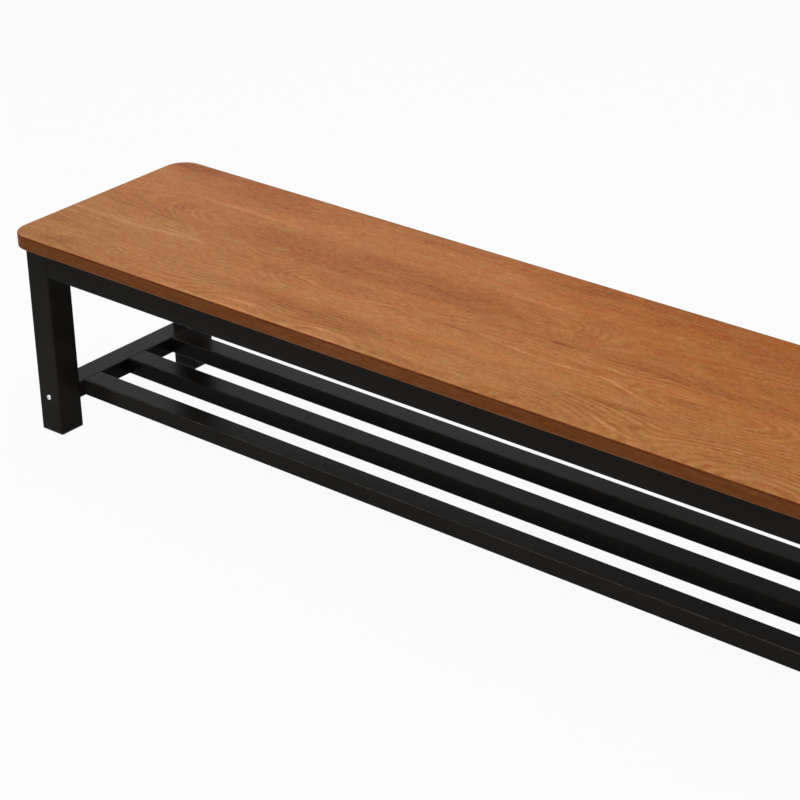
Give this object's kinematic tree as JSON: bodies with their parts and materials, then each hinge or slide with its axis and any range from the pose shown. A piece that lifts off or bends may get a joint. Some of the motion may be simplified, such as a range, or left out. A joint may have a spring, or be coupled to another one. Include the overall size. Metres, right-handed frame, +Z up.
{
  "type": "shoe bench",
  "caption": "Long shoe bench with a wood-pattern laminated seat board on a black square-tube steel frame and an open slatted shoe shelf near the floor.",
  "frame": {"origin": "on the floor under the middle of the bench", "axes": "+X along the bench, +Y to its rear, +Z up"},
  "size_m": [1.8, 0.42, 0.372],
  "materials": {
    "wood_laminate": "satin melamine laminate with a walnut wood pattern, grain along the bench",
    "edge_band": "satin edge band with the same wood pattern",
    "board_core": "raw chipboard",
    "backing_laminate": "matt balancing laminate",
    "black_steel": "semi-gloss black powder coat",
    "zinc": "bright zinc plate",
    "black_plastic": "moulded black polyethylene"
  },
  "bodies": {
    "root": {"seat_top_laminate": "wood_laminate", "seat_edge_band": "edge_band", "seat_core": "board_core", "seat_bottom_laminate": "backing_laminate", "leg_front_left": "black_steel", "leg_front_right": "black_steel", "leg_rear_left": "black_steel", "leg_rear_right": "black_steel", "apron_front": "black_steel", "apron_rear": "black_steel", "end_rail_left": "black_steel", "end_rail_right": "black_steel", "seat_brace_left": "black_steel", "seat_brace_right": "black_steel", "shelf_rail_left": "black_steel", "shelf_rail_right": "black_steel", "shelf_slat_front": "black_steel", "shelf_slat_middle": "black_steel", "shelf_slat_rear": "black_steel", "apron_plate_front_left": "black_steel", "apron_plate_front_right": "black_steel", "apron_plate_rear_left": "black_steel", "apron_plate_rear_right": "black_steel", "rail_plate_front_left": "black_steel", "rail_plate_front_right": "black_steel", "rail_plate_rear_left": "black_steel", "rail_plate_rear_right": "black_steel", "seat_tab_front_left": "black_steel", "seat_tab_front_middle": "black_steel", "seat_tab_front_right": "black_steel", "seat_tab_rear_left": "black_steel", "seat_tab_rear_middle": "black_steel", "seat_tab_rear_right": "black_steel", "shelf_bolts": "zinc", "shelf_nuts": "zinc", "apron_bolts": "zinc", "apron_nuts": "zinc", "seat_screws": "zinc", "foot_plug_front_left": "black_plastic", "foot_plug_front_right": "black_plastic", "foot_plug_rear_left": "black_plastic", "foot_plug_rear_right": "black_plastic"}
  },
  "joints": []
}
